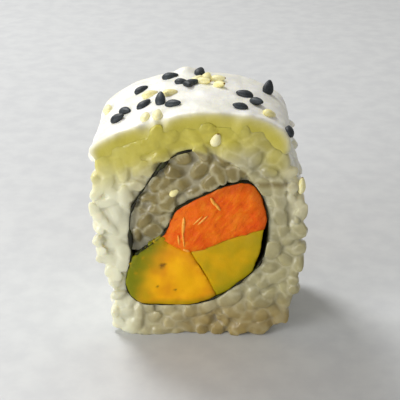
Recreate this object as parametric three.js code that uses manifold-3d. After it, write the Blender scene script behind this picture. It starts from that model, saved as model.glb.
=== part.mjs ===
// One thick slice of an inside-out sushi roll, in millimetres, +Z up.
// The roll's axis runs along Y. Its front cut face looks towards -Y, and it stands on its pressed-flat foot.
// From the outside in: a slab of white cream over the top, sticky rice, a spiral of nori, and in
// the nori's first turn a piece of salmon above two pieces of ripe avocado.

import * as THREE from 'three';
import { mergeVertices } from 'three/addons/utils/BufferGeometryUtils.js';
import Module from 'manifold-3d';

const wasm = await Module();
wasm.setup();

// Driving dimensions. The lower reach would end below z = 0: the foot is pressed flat there.
const ROLL_LENGTH = 24;
const HALF_LENGTH = ROLL_LENGTH / 2;
const HALF_WIDTH = 20.4;
const MIDDLE_HEIGHT = 21.8;
const LOWER_REACH = 22.6;
const UPPER_REACH = 26;
const FIT_GAP = 0.3;
const SEAM_GAP = 0.3;

// The rice's section is four quarters of superellipses: a higher power is a squarer corner.
const POWER_UPPER_RIGHT = 2.5;
const POWER_UPPER_LEFT = 3.8;
const POWER_LOWER_LEFT = 6;
const POWER_LOWER_RIGHT = 3.6;

// The left flank draws in just above the foot.
const WAIST_SHARE = 0.14;
const WAIST_HEIGHT = 9;
const WAIST_SPREAD = 7;

// Rice grains show as relief on the rice's skin and cut faces.
const GRAIN_LUMP = 3.4;
const SKIN_RELIEF = 0.7;
const FACE_RELIEF = 0.35;
const RICE_RIM_ROUND = 0.9;
const RICE_AROUND = 72;
const RICE_SKIN_ROWS = 9;
const RICE_FACE_SHARES = [0.3, 0.5, 0.64, 0.76, 0.87, 0.965];
const SKIN_SHARE = 0.9;

// The cream slab: its crown line runs askew, from the right at the front to the left at the back.
const CREAM_FRONT = { crownX: 3.1, crownZ: 48.6, power: { left: 1.5, right: 2.5 } };
const CREAM_BACK = { crownX: -3.1, crownZ: 49, power: { left: 1.6, right: 1.9 } };
const CREAM_LEFT_END = { outer: { x: -20.7, z: 40.2 }, inner: { x: -18.4, z: 38.4 } };
const CREAM_RIGHT_END = { outer: { x: 17.3, z: 41.2 }, inner: { x: 15.5, z: 40.4 } };
const CREAM_THICKNESS = 3;
const CREAM_RIM_ROUND = 0.6;
const CREAM_LUMP = 7;
const CREAM_RELIEF = 0.25;
const CREAM_ROWS = 9;
const ARCH_STEPS = 13;
const SEAT_TOP = 60;
const SEAT_HALF_WIDTH = 30;
const SEAT_OVERRUN = 2;

const NORI_THICKNESS = 0.5;

// The nori's spiral in the section, as [x, z], from its end beside the avocado, over the salmon,
// down the right side, along under the avocado and up the left side into the rice.
const NORI_ROUTE = [
  [-12.4, 17.9],
  [-6.4, 23.4],
  [-4.3, 28],
  [1.2, 31.3],
  [5, 33.4],
  [10.3, 34],
  [13.3, 28],
  [12.6, 17.6],
  [9.2, 13.1],
  [1.5, 7.7],
  [-6, 6.8],
  [-12.4, 7.3],
  [-14.5, 10.6],
  [-13.3, 18],
  [-13.1, 27],
  [-8.6, 35.2],
  [-4, 39.8],
  [-0.9, 40.7],
];
const NORI_STEPS = 76;
const NORI_ROWS = 3;
const NORI_LENGTH = 23;
const FIRST_TURN_SHARE = 0.76;

// The seams between the fillings, as [x, z]: the salmon's underside, and the line where the
// two avocado pieces lean on each other.
const SALMON_SEAM = [[-10, 23.6], [-5.4, 20.7], [-1.6, 19], [5.5, 21.8], [16, 25.6]];
const AVOCADO_SEAM = [[-3.4, 22], [3.1, 10.2], [4.6, 4]];
const SEAM_STEPS = 16;

// Corners that close each seam's cutting outline well outside the fillings.
const ABOVE_SALMON_SEAM = [[20, 44], [-16, 44]];
const LEFT_OF_AVOCADO_SEAM = [[-20, 0], [-20, 30]];
const CUT_OVERRUN = 2;

// Each filling's ends stop a little inside the rice's: the recess, how wide its lumps are, how high.
const SALMON_FACE = { recess: 0.4, lump: 5, height: 0.3 };
const AVOCADO_LEFT_FACE = { recess: 0.5, lump: 9, height: 0.25 };
const AVOCADO_RIGHT_FACE = { recess: 0.6, lump: 8, height: 0.25 };
const FACED_BLOCK_LEFT = -17;
const FACED_BLOCK_BOTTOM = 3;
const FACED_BLOCK_SPAN = 34;
const FACED_BLOCK_CELLS = 12;

const CREAM_COLOUR = 0xf7f5ec;
const RICE_COLOUR = 0xd8d4bf;
const NORI_COLOUR = 0x1f2415;
const SALMON_COLOUR = 0xec6d0c;
const AVOCADO_LEFT_COLOUR = 0xe6ae10;
const AVOCADO_RIGHT_COLOUR = 0xc79d0c;

// ---- Smooth random relief ----

function latticeValue(i, j, k) {
  const wave = Math.sin(i * 127.1 + j * 311.7 + k * 74.7) * 43758.5453;
  return (wave - Math.floor(wave)) * 2 - 1;
}

// A smooth random field between -1 and 1, whose lumps are about `lump` wide.
function relief(x, y, z, lump) {
  const cell = [x, y, z].map((value) => Math.floor(value / lump));
  const part = [x, y, z].map((value, axis) => value / lump - cell[axis]);
  const [u, v, w] = part.map((t) => t * t * (3 - 2 * t));
  let sum = 0;
  for (const [di, share] of [[0, 1 - u], [1, u]]) {
    for (const [dj, shareY] of [[0, 1 - v], [1, v]]) {
      for (const [dk, shareZ] of [[0, 1 - w], [1, w]]) {
        sum += share * shareY * shareZ * latticeValue(cell[0] + di, cell[1] + dj, cell[2] + dk);
      }
    }
  }
  return sum;
}

// ---- Meshes and solids ----

function geometryFrom(positions, triangles) {
  const geometry = new THREE.BufferGeometry();
  geometry.setAttribute('position', new THREE.Float32BufferAttribute(positions, 3));
  geometry.setIndex(triangles);
  return geometry;
}

function solidFrom(geometry) {
  const bare = geometry.clone();
  bare.deleteAttribute('normal');
  bare.deleteAttribute('uv');
  const merged = mergeVertices(bare);
  return new wasm.Manifold(new wasm.Mesh({
    numProp: 3,
    vertProperties: new Float32Array(merged.attributes.position.array),
    triVerts: new Uint32Array(merged.index.array),
  }));
}

function meshFrom(solid, name, color, roughness) {
  const cut = solid.getMesh();
  const geometry = geometryFrom(Array.from(cut.vertProperties), Array.from(cut.triVerts));
  geometry.computeVertexNormals();
  const material = new THREE.MeshStandardMaterial({ color, roughness, metalness: 0 });
  const mesh = new THREE.Mesh(geometry, material);
  mesh.name = name;
  return mesh;
}

// Joins closed loops of equal length into one skin, and closes each end with a fan to its centre.
function loftFrom(loops, frontCentre, backCentre) {
  const around = loops[0].length;
  const positions = [...loops.flat(), frontCentre, backCentre].flat();
  const frontIndex = loops.length * around;
  const triangles = [];
  for (let row = 0; row < loops.length - 1; row += 1) {
    for (let j = 0; j < around; j += 1) {
      const here = row * around + j;
      const next = row * around + (j + 1) % around;
      triangles.push(here, here + around, next, next, here + around, next + around);
    }
  }
  const last = (loops.length - 1) * around;
  for (let j = 0; j < around; j += 1) {
    const next = (j + 1) % around;
    triangles.push(frontIndex, j, next);
    triangles.push(frontIndex + 1, last + next, last + j);
  }
  return geometryFrom(positions, triangles);
}

// A straight solid along Y from an outline of [x, z] points.
function prismFrom(outline, length, steps) {
  const shape = new THREE.Shape(outline.map(([x, z]) => new THREE.Vector2(x, z)));
  const geometry = new THREE.ExtrudeGeometry(shape, { depth: length, steps, bevelEnabled: false });
  geometry.rotateX(Math.PI / 2);
  geometry.translate(0, length / 2, 0);
  return solidFrom(geometry);
}

// ---- Rice ----

// The rice outline's distance from the middle of the section, in the direction `angle`.
function riceRadius(angle) {
  const across = Math.abs(Math.cos(angle));
  const up = Math.abs(Math.sin(angle));
  const rightSide = Math.cos(angle) >= 0;
  const upperSide = Math.sin(angle) >= 0;
  const reach = upperSide ? UPPER_REACH : LOWER_REACH;
  const upperPower = rightSide ? POWER_UPPER_RIGHT : POWER_UPPER_LEFT;
  const lowerPower = rightSide ? POWER_LOWER_RIGHT : POWER_LOWER_LEFT;
  const power = upperSide ? upperPower : lowerPower;
  return ((across / HALF_WIDTH) ** power + (up / reach) ** power) ** (-1 / power);
}

function ricePoint(angle, share, y) {
  const radius = riceRadius(angle) * share;
  let x = radius * Math.cos(angle);
  let z = MIDDLE_HEIGHT + radius * Math.sin(angle);
  const swell = share > SKIN_SHARE ? SKIN_RELIEF * relief(x, y, z, GRAIN_LUMP) : 0;
  x += swell * Math.cos(angle);
  z += swell * Math.sin(angle);
  if (x < 0) {
    x *= 1 - WAIST_SHARE * Math.exp(-(((z - WAIST_HEIGHT) / WAIST_SPREAD) ** 2));
  }
  const faceShare = Math.max(0, Math.abs(y) / HALF_LENGTH - 0.9) * 10;
  const faceY = Math.sign(y) * FACE_RELIEF * (relief(x, Math.sign(y) * 50, z, GRAIN_LUMP) - 1) * faceShare;
  return [x, y + faceY, Math.max(0, z)];
}

function riceBlock() {
  const profile = RICE_FACE_SHARES.map((share) => [share, -HALF_LENGTH]);
  for (let row = 0; row <= RICE_SKIN_ROWS; row += 1) {
    profile.push([1, (row / RICE_SKIN_ROWS - 0.5) * (ROLL_LENGTH - 2 * RICE_RIM_ROUND)]);
  }
  profile.push(...RICE_FACE_SHARES.toReversed().map((share) => [share, HALF_LENGTH]));
  const loops = profile.map(([share, y]) => {
    const loop = [];
    for (let j = 0; j < RICE_AROUND; j += 1) {
      loop.push(ricePoint((j / RICE_AROUND) * 2 * Math.PI, share, y));
    }
    return loop;
  });
  const frontCentre = [0, -HALF_LENGTH, MIDDLE_HEIGHT];
  const backCentre = [0, HALF_LENGTH, MIDDLE_HEIGHT];
  return solidFrom(loftFrom(loops, frontCentre, backCentre));
}

// ---- Cream ----

function blend(front, back, y) {
  const share = y / ROLL_LENGTH + 0.5;
  return front + (back - front) * share;
}

// One side of the cream's arch, as [x, z] points from the crown down to its end.
function archSide(crown, end, power) {
  const halfSpan = end.x - crown.x;
  const rise = crown.z - end.z;
  const points = [];
  for (let i = 0; i <= ARCH_STEPS; i += 1) {
    const angle = (Math.PI / 2) * (1 - i / ARCH_STEPS);
    const across = Math.cos(angle);
    const up = Math.sin(angle);
    const radius = (across ** power + up ** power) ** (-1 / power);
    points.push([crown.x + halfSpan * radius * across, end.z + rise * radius * up]);
  }
  return points;
}

// The arch from its left end to its right end, `depth` below the cream's top.
function arch(y, depth, leftEnd, rightEnd) {
  const crown = {
    x: blend(CREAM_FRONT.crownX, CREAM_BACK.crownX, y),
    z: blend(CREAM_FRONT.crownZ, CREAM_BACK.crownZ, y) - depth,
  };
  const powerLeft = blend(CREAM_FRONT.power.left, CREAM_BACK.power.left, y);
  const powerRight = blend(CREAM_FRONT.power.right, CREAM_BACK.power.right, y);
  const left = archSide(crown, leftEnd, powerLeft).reverse();
  const right = archSide(crown, rightEnd, powerRight);
  return [...left, ...right.slice(1)];
}

function creamLoop(y, inset) {
  const top = arch(y, inset, CREAM_LEFT_END.outer, CREAM_RIGHT_END.outer).map(([x, z]) => {
    const lift = CREAM_RELIEF * relief(x, y, z, CREAM_LUMP);
    return [x, y, z + lift];
  });
  const under = arch(y, CREAM_THICKNESS, CREAM_LEFT_END.inner, CREAM_RIGHT_END.inner);
  return [...top, ...under.reverse().map(([x, z]) => [x, y, z])];
}

// Closes a loop that runs out along the arch's top and back along its underside.
function archLoft(loops) {
  const around = loops[0].length;
  const half = around / 2;
  const positions = loops.flat(2);
  const triangles = [];
  const quad = (a, b, c, d) => triangles.push(a, b, c, a, c, d);
  for (let row = 0; row < loops.length - 1; row += 1) {
    for (let j = 0; j < around; j += 1) {
      const here = row * around + j;
      const next = row * around + (j + 1) % around;
      quad(here, next, next + around, here + around);
    }
  }
  const last = (loops.length - 1) * around;
  for (let j = 0; j < half - 1; j += 1) {
    const under = around - 1 - j;
    quad(j, under, under - 1, j + 1);
    quad(last + j, last + j + 1, last + under - 1, last + under);
  }
  return solidFrom(geometryFrom(positions, triangles));
}

function creamSlab() {
  const loops = [creamLoop(-HALF_LENGTH, CREAM_RIM_ROUND)];
  for (let row = 0; row <= CREAM_ROWS; row += 1) {
    loops.push(creamLoop((row / CREAM_ROWS - 0.5) * (ROLL_LENGTH - 2 * CREAM_RIM_ROUND), 0));
  }
  loops.push(creamLoop(HALF_LENGTH, CREAM_RIM_ROUND));
  return archLoft(loops);
}

// Everything above the cream's underside and a fit gap: cutting it away seats the cream on the rice.
function creamSeat() {
  const leftEnd = { x: CREAM_LEFT_END.inner.x + FIT_GAP, z: CREAM_LEFT_END.inner.z - FIT_GAP };
  const rightEnd = { x: CREAM_RIGHT_END.inner.x - FIT_GAP, z: CREAM_RIGHT_END.inner.z - FIT_GAP };
  const loops = [-HALF_LENGTH - SEAT_OVERRUN, 0, HALF_LENGTH + SEAT_OVERRUN].map((y) => {
    const seat = arch(y, CREAM_THICKNESS + FIT_GAP, leftEnd, rightEnd);
    const outline = [[-SEAT_HALF_WIDTH, leftEnd.z], ...seat, [SEAT_HALF_WIDTH, rightEnd.z]];
    const floor = outline.map(([x, z]) => [x, y, z]);
    return [...floor.map(([x]) => [x, y, SEAT_TOP]), ...floor.toReversed()];
  });
  return archLoft(loops);
}

// ---- Curves in the section ----

function sectionCurve(route) {
  const points = route.map(([x, z]) => new THREE.Vector3(x, 0, z));
  return new THREE.CatmullRomCurve3(points, false, 'centripetal');
}

function sectionLine(curve, steps) {
  return curve.getSpacedPoints(steps).map((point) => [point.x, point.z]);
}

// The outline of a ribbon along a stretch of a curve, `overrun` longer at each end.
function ribbonOutline(curve, [from, to], steps, width, overrun) {
  const left = [];
  const right = [];
  for (let i = 0; i <= steps; i += 1) {
    const share = from + (to - from) * (i / steps);
    const point = curve.getPointAt(share);
    const along = curve.getTangentAt(share);
    const push = (i === steps ? overrun : 0) - (i === 0 ? overrun : 0);
    const x = point.x + along.x * push;
    const z = point.z + along.z * push;
    left.push([x - along.z * width / 2, z + along.x * width / 2]);
    right.push([x + along.z * width / 2, z - along.x * width / 2]);
  }
  return [...left, ...right.reverse()];
}

// ---- Fillings ----

// A block whose front and back are gently uneven, as a knife leaves soft food.
function facedBlock({ recess, lump, height }) {
  const faceY = HALF_LENGTH - recess;
  const cells = FACED_BLOCK_CELLS;
  const step = FACED_BLOCK_SPAN / cells;
  const side = cells + 1;
  const positions = [];
  for (const sign of [-1, 1]) {
    for (let i = 0; i < side; i += 1) {
      for (let k = 0; k < side; k += 1) {
        const x = FACED_BLOCK_LEFT + i * step;
        const z = FACED_BLOCK_BOTTOM + k * step;
        positions.push(x, sign * (faceY + height * relief(x, sign * faceY * 3, z, lump)), z);
      }
    }
  }
  const triangles = [];
  const quad = (a, b, c, d) => triangles.push(a, b, c, a, c, d);
  const back = side * side;
  for (let i = 0; i < cells; i += 1) {
    for (let k = 0; k < cells; k += 1) {
      const corner = i * side + k;
      quad(corner, corner + side, corner + side + 1, corner + 1);
      quad(back + corner, back + corner + 1, back + corner + side + 1, back + corner + side);
    }
    const right = cells * side;
    quad(i * side, back + i * side, back + (i + 1) * side, (i + 1) * side);
    quad(i * side + cells, (i + 1) * side + cells, back + (i + 1) * side + cells, back + i * side + cells);
    quad(i, i + 1, back + i + 1, back + i);
    quad(right + i, back + right + i, back + right + i + 1, right + i + 1);
  }
  return solidFrom(geometryFrom(positions, triangles));
}

// ---- The roll ----

const cutLength = ROLL_LENGTH + 2 * CUT_OVERRUN;
const noriCurve = sectionCurve(NORI_ROUTE);
const slotWidth = NORI_THICKNESS + 2 * FIT_GAP;
const noriSlotHalves = [[0, 0.5], [0.5, 1]].map((stretch) => (
  prismFrom(ribbonOutline(noriCurve, stretch, NORI_STEPS / 2, slotWidth, 2 * FIT_GAP), cutLength, 1)
));
const noriSlot = noriSlotHalves[0].add(noriSlotHalves[1]);
const firstTurn = sectionLine(noriCurve, NORI_STEPS).slice(0, Math.round(NORI_STEPS * FIRST_TURN_SHARE));
const firstTurnInside = prismFrom(firstTurn, cutLength, 1);

const salmonSeam = sectionCurve(SALMON_SEAM);
const avocadoSeam = sectionCurve(AVOCADO_SEAM);
const salmonSeamSlot = prismFrom(ribbonOutline(salmonSeam, [0, 1], SEAM_STEPS, SEAM_GAP, 0), cutLength, 1);
const avocadoSeamSlot = prismFrom(ribbonOutline(avocadoSeam, [0, 1], SEAM_STEPS, SEAM_GAP, 0), cutLength, 1);
const aboveSeamOutline = [...sectionLine(salmonSeam, SEAM_STEPS), ...ABOVE_SALMON_SEAM];
const aboveSalmonSeam = prismFrom(aboveSeamOutline, cutLength, 1);
const leftOfSeamOutline = [...sectionLine(avocadoSeam, SEAM_STEPS), ...LEFT_OF_AVOCADO_SEAM];
const leftOfAvocadoSeam = prismFrom(leftOfSeamOutline, cutLength, 1);

const filling = firstTurnInside.subtract(noriSlot).subtract(salmonSeamSlot);
const avocado = filling.subtract(aboveSalmonSeam).subtract(avocadoSeamSlot);

const cream = creamSlab();
const rice = riceBlock().subtract(creamSeat()).subtract(noriSlot).subtract(firstTurnInside);
const noriOutline = ribbonOutline(noriCurve, [0, 1], NORI_STEPS, NORI_THICKNESS, 0);
const nori = prismFrom(noriOutline, NORI_LENGTH, NORI_ROWS);
const salmon = filling.intersect(aboveSalmonSeam).intersect(facedBlock(SALMON_FACE));
const avocadoLeft = avocado.intersect(leftOfAvocadoSeam).intersect(facedBlock(AVOCADO_LEFT_FACE));
const avocadoRight = avocado.subtract(leftOfAvocadoSeam).intersect(facedBlock(AVOCADO_RIGHT_FACE));

const uramakiRoll = new THREE.Group();
uramakiRoll.name = 'uramaki_roll';
uramakiRoll.add(
  meshFrom(rice, 'rice', RICE_COLOUR, 0.5),
  meshFrom(cream, 'cream_topping', CREAM_COLOUR, 0.4),
  meshFrom(nori, 'nori', NORI_COLOUR, 0.5),
  meshFrom(salmon, 'salmon', SALMON_COLOUR, 0.4),
  meshFrom(avocadoLeft, 'avocado_left', AVOCADO_LEFT_COLOUR, 0.4),
  meshFrom(avocadoRight, 'avocado_right', AVOCADO_RIGHT_COLOUR, 0.4),
);

export default uramakiRoll;
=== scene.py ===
"""A thick slice of an inside-out sushi roll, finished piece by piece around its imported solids.

The roll's axis runs along Y, its front cut face looks towards -Y, and it stands on z = 0.
Shapes are worked out in metres: MM turns millimetres into metres.
"""

import math

import bpy
import numpy as np
from mathutils import Matrix, Vector, kdtree, noise
from mathutils.bvhtree import BVHTree


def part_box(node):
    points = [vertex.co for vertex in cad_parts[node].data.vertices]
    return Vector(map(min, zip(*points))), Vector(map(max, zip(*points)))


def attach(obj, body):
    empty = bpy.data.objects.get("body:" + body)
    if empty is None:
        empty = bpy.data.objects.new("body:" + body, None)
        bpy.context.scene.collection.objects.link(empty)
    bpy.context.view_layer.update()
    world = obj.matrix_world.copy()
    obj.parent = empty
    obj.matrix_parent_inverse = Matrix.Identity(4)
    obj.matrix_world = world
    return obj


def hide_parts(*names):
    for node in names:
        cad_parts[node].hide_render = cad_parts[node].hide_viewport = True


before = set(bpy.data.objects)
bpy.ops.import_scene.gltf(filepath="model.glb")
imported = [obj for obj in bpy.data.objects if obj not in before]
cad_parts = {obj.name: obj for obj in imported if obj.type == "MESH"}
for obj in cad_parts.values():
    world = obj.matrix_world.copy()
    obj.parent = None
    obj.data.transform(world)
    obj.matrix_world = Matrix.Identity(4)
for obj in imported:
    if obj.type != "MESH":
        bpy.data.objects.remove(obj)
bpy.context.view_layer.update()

MM = 0.001
HALF_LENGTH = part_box("cream_topping")[1].y
FILLINGS = ("salmon", "avocado_left", "avocado_right")
INSIDE_NODES = ("nori",) + FILLINGS
WELD_DISTANCE = 0.001 * MM

# The grains: half sizes across and along, and how far apart they lie in the skin. They are sorted into
# cubes a little larger than that. Those on a flank are slimmer than those a knife has pressed.
GRAIN_HALF_SIZE = (1.55 * MM, 1.38 * MM, 2.6 * MM)
GRAIN_BEND = math.radians(26)
GRAIN_SPACING = 2.25 * MM
GRAIN_CELL = 2.5 * MM
GRAIN_TRIES = 26000
CUT_GRAIN = (1, 1, 1)
FLANK_GRAIN = (0.86, 0.86, 1.14)
LOOSE_GRAIN_EVERY = 3

# How deep the rice's core lies behind its flanks and its cut faces, and how far the rice may reach.
CORE_DEPTH = 0.95 * MM
CORE_FACE_DEPTH = 0.75 * MM
FLANK_LIMIT = 20.9 * MM
FACE_RECESS = 0.25 * MM

# The fineness of each piece's skin.
CORE_VOXEL = 0.4 * MM
RICE_VOXEL = 0.26 * MM
RICE_TRIANGLES = 185000
NORI_VOXEL = 0.2 * MM
NORI_TRIANGLES = 90000
FILLING_VOXEL = 0.36 * MM
CREAM_VOXEL = 0.42 * MM

# How far the cream's ends lean back towards the rice, and how far their lower edge hangs over it.
CREAM_LEAN = 0.38 * MM
CREAM_HEM = 1.0
CREAM_HEM_MORE = 0.9

# The nori: its packed half sizes, how far from it other skins are drawn to it, and its recessed ends.
NORI_HALF_THICKNESS = 0.25 * MM
NORI_HALF_LENGTH = 11.5 * MM
NORI_REACH = 1.5 * MM
NORI_RECESS = 0.35 * MM
NORI_ROOM_LENGTHENED = 1.1

# Places where the nori is drawn thicker, partly crumpled nori and partly dark nori standing in for
# painted shade
# beside it: x, z, radius and extra half thickness in millimetres.
NORI_THICK_SPOTS = [
    (-2.6, 40.5, 2.2, 0.25), (-8.4, 36.0, 1.8, 0.3), (-6.6, 37.8, 1.9, 0.42), (-11.0, 32.4, 1.5, 0.2),
    (-13.0, 28.6, 1.6, 0.3), (-13.3, 21.4, 2.6, 0.4), (-12.6, 18.0, 1.3, 0.3), (3.0, 8.8, 1.6, 0.16),
    (8.0, 12.4, 1.3, 0.16), (12.4, 16.5, 1.5, 0.2), (-6.8, 22.9, 1.2, 0.15),
]

# Hollows in the rice's front face: x, z, radius and depth in millimetres. A negative depth is a bulge,
# as in the lip along the foot.
RICE_HOLLOWS = [
    (-7.0, 37.0, 1.9, 1.1), (-12.2, 29.2, 1.2, 0.9), (4.0, 3.4, 1.8, 0.9), (-9.7, 28.8, 1.5, 0.9),
    (-11.0, 0.0, 5.5, -0.75), (-6.0, 0.0, 3.5, -0.2), (9.0, 0.0, 4.0, -0.3),
]


# ---- Working on a piece ----


def select_only(piece):
    bpy.ops.object.select_all(action="DESELECT")
    piece.select_set(True)
    bpy.context.view_layer.objects.active = piece


def apply_modifier(piece, kind, **settings):
    """Adds a modifier with these settings and applies it to the piece's mesh."""
    select_only(piece)
    modifier = piece.modifiers.new(kind.lower(), kind)
    for name, value in settings.items():
        setattr(modifier, name, value)
    bpy.ops.object.modifier_apply(modifier=modifier.name)


def thin_to(piece, limit):
    """Thins a piece's skin to about this many triangles."""
    triangles = sum(len(face.vertices) - 2 for face in piece.data.polygons)
    apply_modifier(piece, "DECIMATE", ratio=min(1.0, limit / triangles))


def edit_mesh(piece, *steps):
    """Runs edit mode steps on the whole of a piece."""
    select_only(piece)
    bpy.ops.object.mode_set(mode="EDIT")
    bpy.ops.mesh.select_all(action="SELECT")
    for step in steps:
        step()
    bpy.ops.object.mode_set(mode="OBJECT")


def weld():
    bpy.ops.mesh.remove_doubles(threshold=WELD_DISTANCE)


def copy_of_solid(node, name):
    """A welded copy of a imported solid, to be shaped into a visible piece."""
    piece = bpy.data.objects.new(name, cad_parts[node].data.copy())
    bpy.context.collection.objects.link(piece)
    piece.data.materials.clear()
    edit_mesh(piece, weld)
    return piece


def join_into(piece, *others):
    select_only(piece)
    for other in others:
        other.select_set(True)
    bpy.ops.object.join()
    return piece


def shade_smooth(piece):
    select_only(piece)
    bpy.ops.object.shade_smooth()


def points_of(piece):
    flat = np.empty(len(piece.data.vertices) * 3, np.float32)
    piece.data.vertices.foreach_get("co", flat)
    return flat.reshape(-1, 3).astype(float)


def normals_of(piece):
    flat = np.empty(len(piece.data.vertices) * 3, np.float32)
    piece.data.vertex_normals.foreach_get("vector", flat)
    return flat.reshape(-1, 3).astype(float)


def place_points(piece, points):
    piece.data.vertices.foreach_set("co", points.astype(np.float32).ravel())
    piece.data.update()


def write_value(piece, name, values):
    attribute = piece.data.attributes.new(name, "FLOAT", "POINT")
    attribute.data.foreach_set("value", values.astype(np.float32))


def write_colour(piece, name, colours):
    attribute = piece.data.attributes.new(name, "FLOAT_COLOR", "POINT")
    with_alpha = np.column_stack([colours, np.ones(len(colours))])
    attribute.data.foreach_set("color", with_alpha.astype(np.float32).ravel())


def tree_of(mesh):
    corners = [vertex.co for vertex in mesh.vertices]
    return BVHTree.FromPolygons(corners, [tuple(face.vertices) for face in mesh.polygons])


solid_trees = {node: tree_of(solid.data) for node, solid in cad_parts.items()}


def distances_to(points, nodes, reach):
    """Each point's distance to the nearest of these solids, or `reach` where none is that near."""
    found = np.full(len(points), reach)
    for node in nodes:
        for index, point in enumerate(points):
            distance = solid_trees[node].find_nearest(Vector(point), reach)[3]
            if distance is not None and distance < found[index]:
                found[index] = distance
    return found


def lean_on(piece, node, reach, share, push=0.0):
    """Moves the skin near a neighbour across the section towards it, by a share of the gap and a push."""
    points = points_of(piece)
    for index, point in enumerate(points):
        spot, _, _, distance = solid_trees[node].find_nearest(Vector(point), reach)
        if spot is None or distance < WELD_DISTANCE:
            continue
        toward = np.array(spot) - point
        toward[1] = 0
        length = np.linalg.norm(toward)
        if length > WELD_DISTANCE:
            points[index] = point + toward * (share + push / length)
    place_points(piece, points)


def smooth_step(low, high, values):
    share = np.clip((values - low) / (high - low), 0, 1)
    return share * share * (3 - 2 * share)


def wander(points, size, seed=0.0):
    """Smooth random values between -1 and 1 that change over about this size."""
    shift = Vector((seed, seed * 0.7, seed * 1.3))
    return np.array([noise.noise(Vector(point) / size + shift) for point in points])


def soften(piece, values, rounds):
    """Spreads a value over the piece's skin by sharing it along the edges."""
    ends = np.empty(len(piece.data.edges) * 2, np.int32)
    piece.data.edges.foreach_get("vertices", ends)
    first, second = ends.reshape(-1, 2).T
    count = len(values)
    shares = 1 + np.bincount(first, minlength=count) + np.bincount(second, minlength=count)
    for _ in range(rounds):
        gathered = np.bincount(first, values[second], count) + np.bincount(second, values[first], count)
        values = (values + gathered) / shares
    return values


def nori_half(points):
    """Half the nori's thickness at each point: an uneven sheet, thicker in a few places, partly crumpled
    and partly dark nori standing in for painted shade.
    """
    half = 0.06 * MM + 0.12 * MM * wander(points, 1.6 * MM, 3.1)
    for x, z, radius, extra in NORI_THICK_SPOTS:
        away = np.hypot(points[:, 0] - x * MM, points[:, 2] - z * MM) / (radius * MM)
        half += extra * MM * smooth_step(1, 0.2, away)
    return np.maximum(half, 0.03 * MM)


def nearest_nori(points):
    """For each point the nori's nearest spot in the section, the way out of the nori and the distance."""
    spots = points + [1, 0, 0]
    outward = np.zeros((len(points), 3))
    inner_length = NORI_HALF_LENGTH - 0.4 * MM
    for index, point in enumerate(points):
        level = Vector((point[0], max(-inner_length, min(inner_length, point[1])), point[2]))
        spot, normal, _, _ = solid_trees["nori"].find_nearest(level, NORI_REACH)
        if spot is not None:
            spots[index] = spot
            outward[index] = normal
    outward[:, 1] = 0
    outward /= np.maximum(np.linalg.norm(outward, axis=1), 0.001)[:, None]
    offsets = (points - spots) * [1, 0, 1]
    distances = np.linalg.norm(offsets, axis=1)
    return spots, outward, distances


def settle_on_nori(piece, slack=None):
    """Brings the skin beside the nori to the nori's uneven skin, or leaves a gap where there is slack."""
    points = points_of(piece)
    spots, outward, distances = nearest_nori(points)
    near = distances < NORI_REACH
    found = points[near]
    offset = nori_half(found) - NORI_HALF_THICKNESS
    if slack is not None:
        offset += slack(found)
    target = spots[near] + outward[near] * offset[:, None]
    target[:, 1] = found[:, 1]
    share = smooth_step(NORI_REACH, 0.4 * MM, distances[near])
    points[near] = found + (target - found) * share[:, None]
    place_points(piece, points)


def lumps(piece, name, lump, height, basis="BLENDER_ORIGINAL", depth=1):
    """Raises and sinks a piece's skin by smooth random lumps."""
    texture = bpy.data.textures.new(name, "CLOUDS")
    texture.noise_scale = lump
    texture.noise_depth = depth
    texture.noise_basis = basis
    settings = {"texture": texture, "texture_coords": "LOCAL", "strength": height, "mid_level": 0.5}
    apply_modifier(piece, "DISPLACE", **settings)


def finish_piece(piece, slot, material, *nodes):
    """Gives a piece its material and its place in the roll."""
    piece.data.materials.clear()
    piece.data.materials.append(material)
    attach(piece, "root")
    if nodes:
        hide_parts(*nodes)


# ---- Shader maths ----


def colour(red, green, blue):
    """A colour as it looks on a screen, from 0 to 255, as the light a surface gives back."""
    parts = [channel / 255 for channel in (red, green, blue)]
    return tuple(c / 12.92 if c <= 0.04045 else ((c + 0.055) / 1.055) ** 2.4 for c in parts) + (1.0,)


class Socket:
    """A socket of a finish, on which +, - and * add Math nodes."""

    def __init__(self, finish, socket):
        self.finish = finish
        self.socket = socket

    def math(self, operation, first, second=0.0, clamp=False):
        settings = {"operation": operation, "use_clamp": clamp}
        return self.finish.node("ShaderNodeMath", settings, {0: first, 1: second})

    def __add__(self, other):
        return self.math("ADD", self, other)

    def __radd__(self, other):
        return self.math("ADD", other, self)

    def __sub__(self, other):
        return self.math("SUBTRACT", self, other)

    def __rsub__(self, other):
        return self.math("SUBTRACT", other, self)

    def __mul__(self, other):
        return self.math("MULTIPLY", self, other)

    def __rmul__(self, other):
        return self.math("MULTIPLY", other, self)

    def clamped(self):
        return self.math("ADD", self, 0.0, clamp=True)


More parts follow.
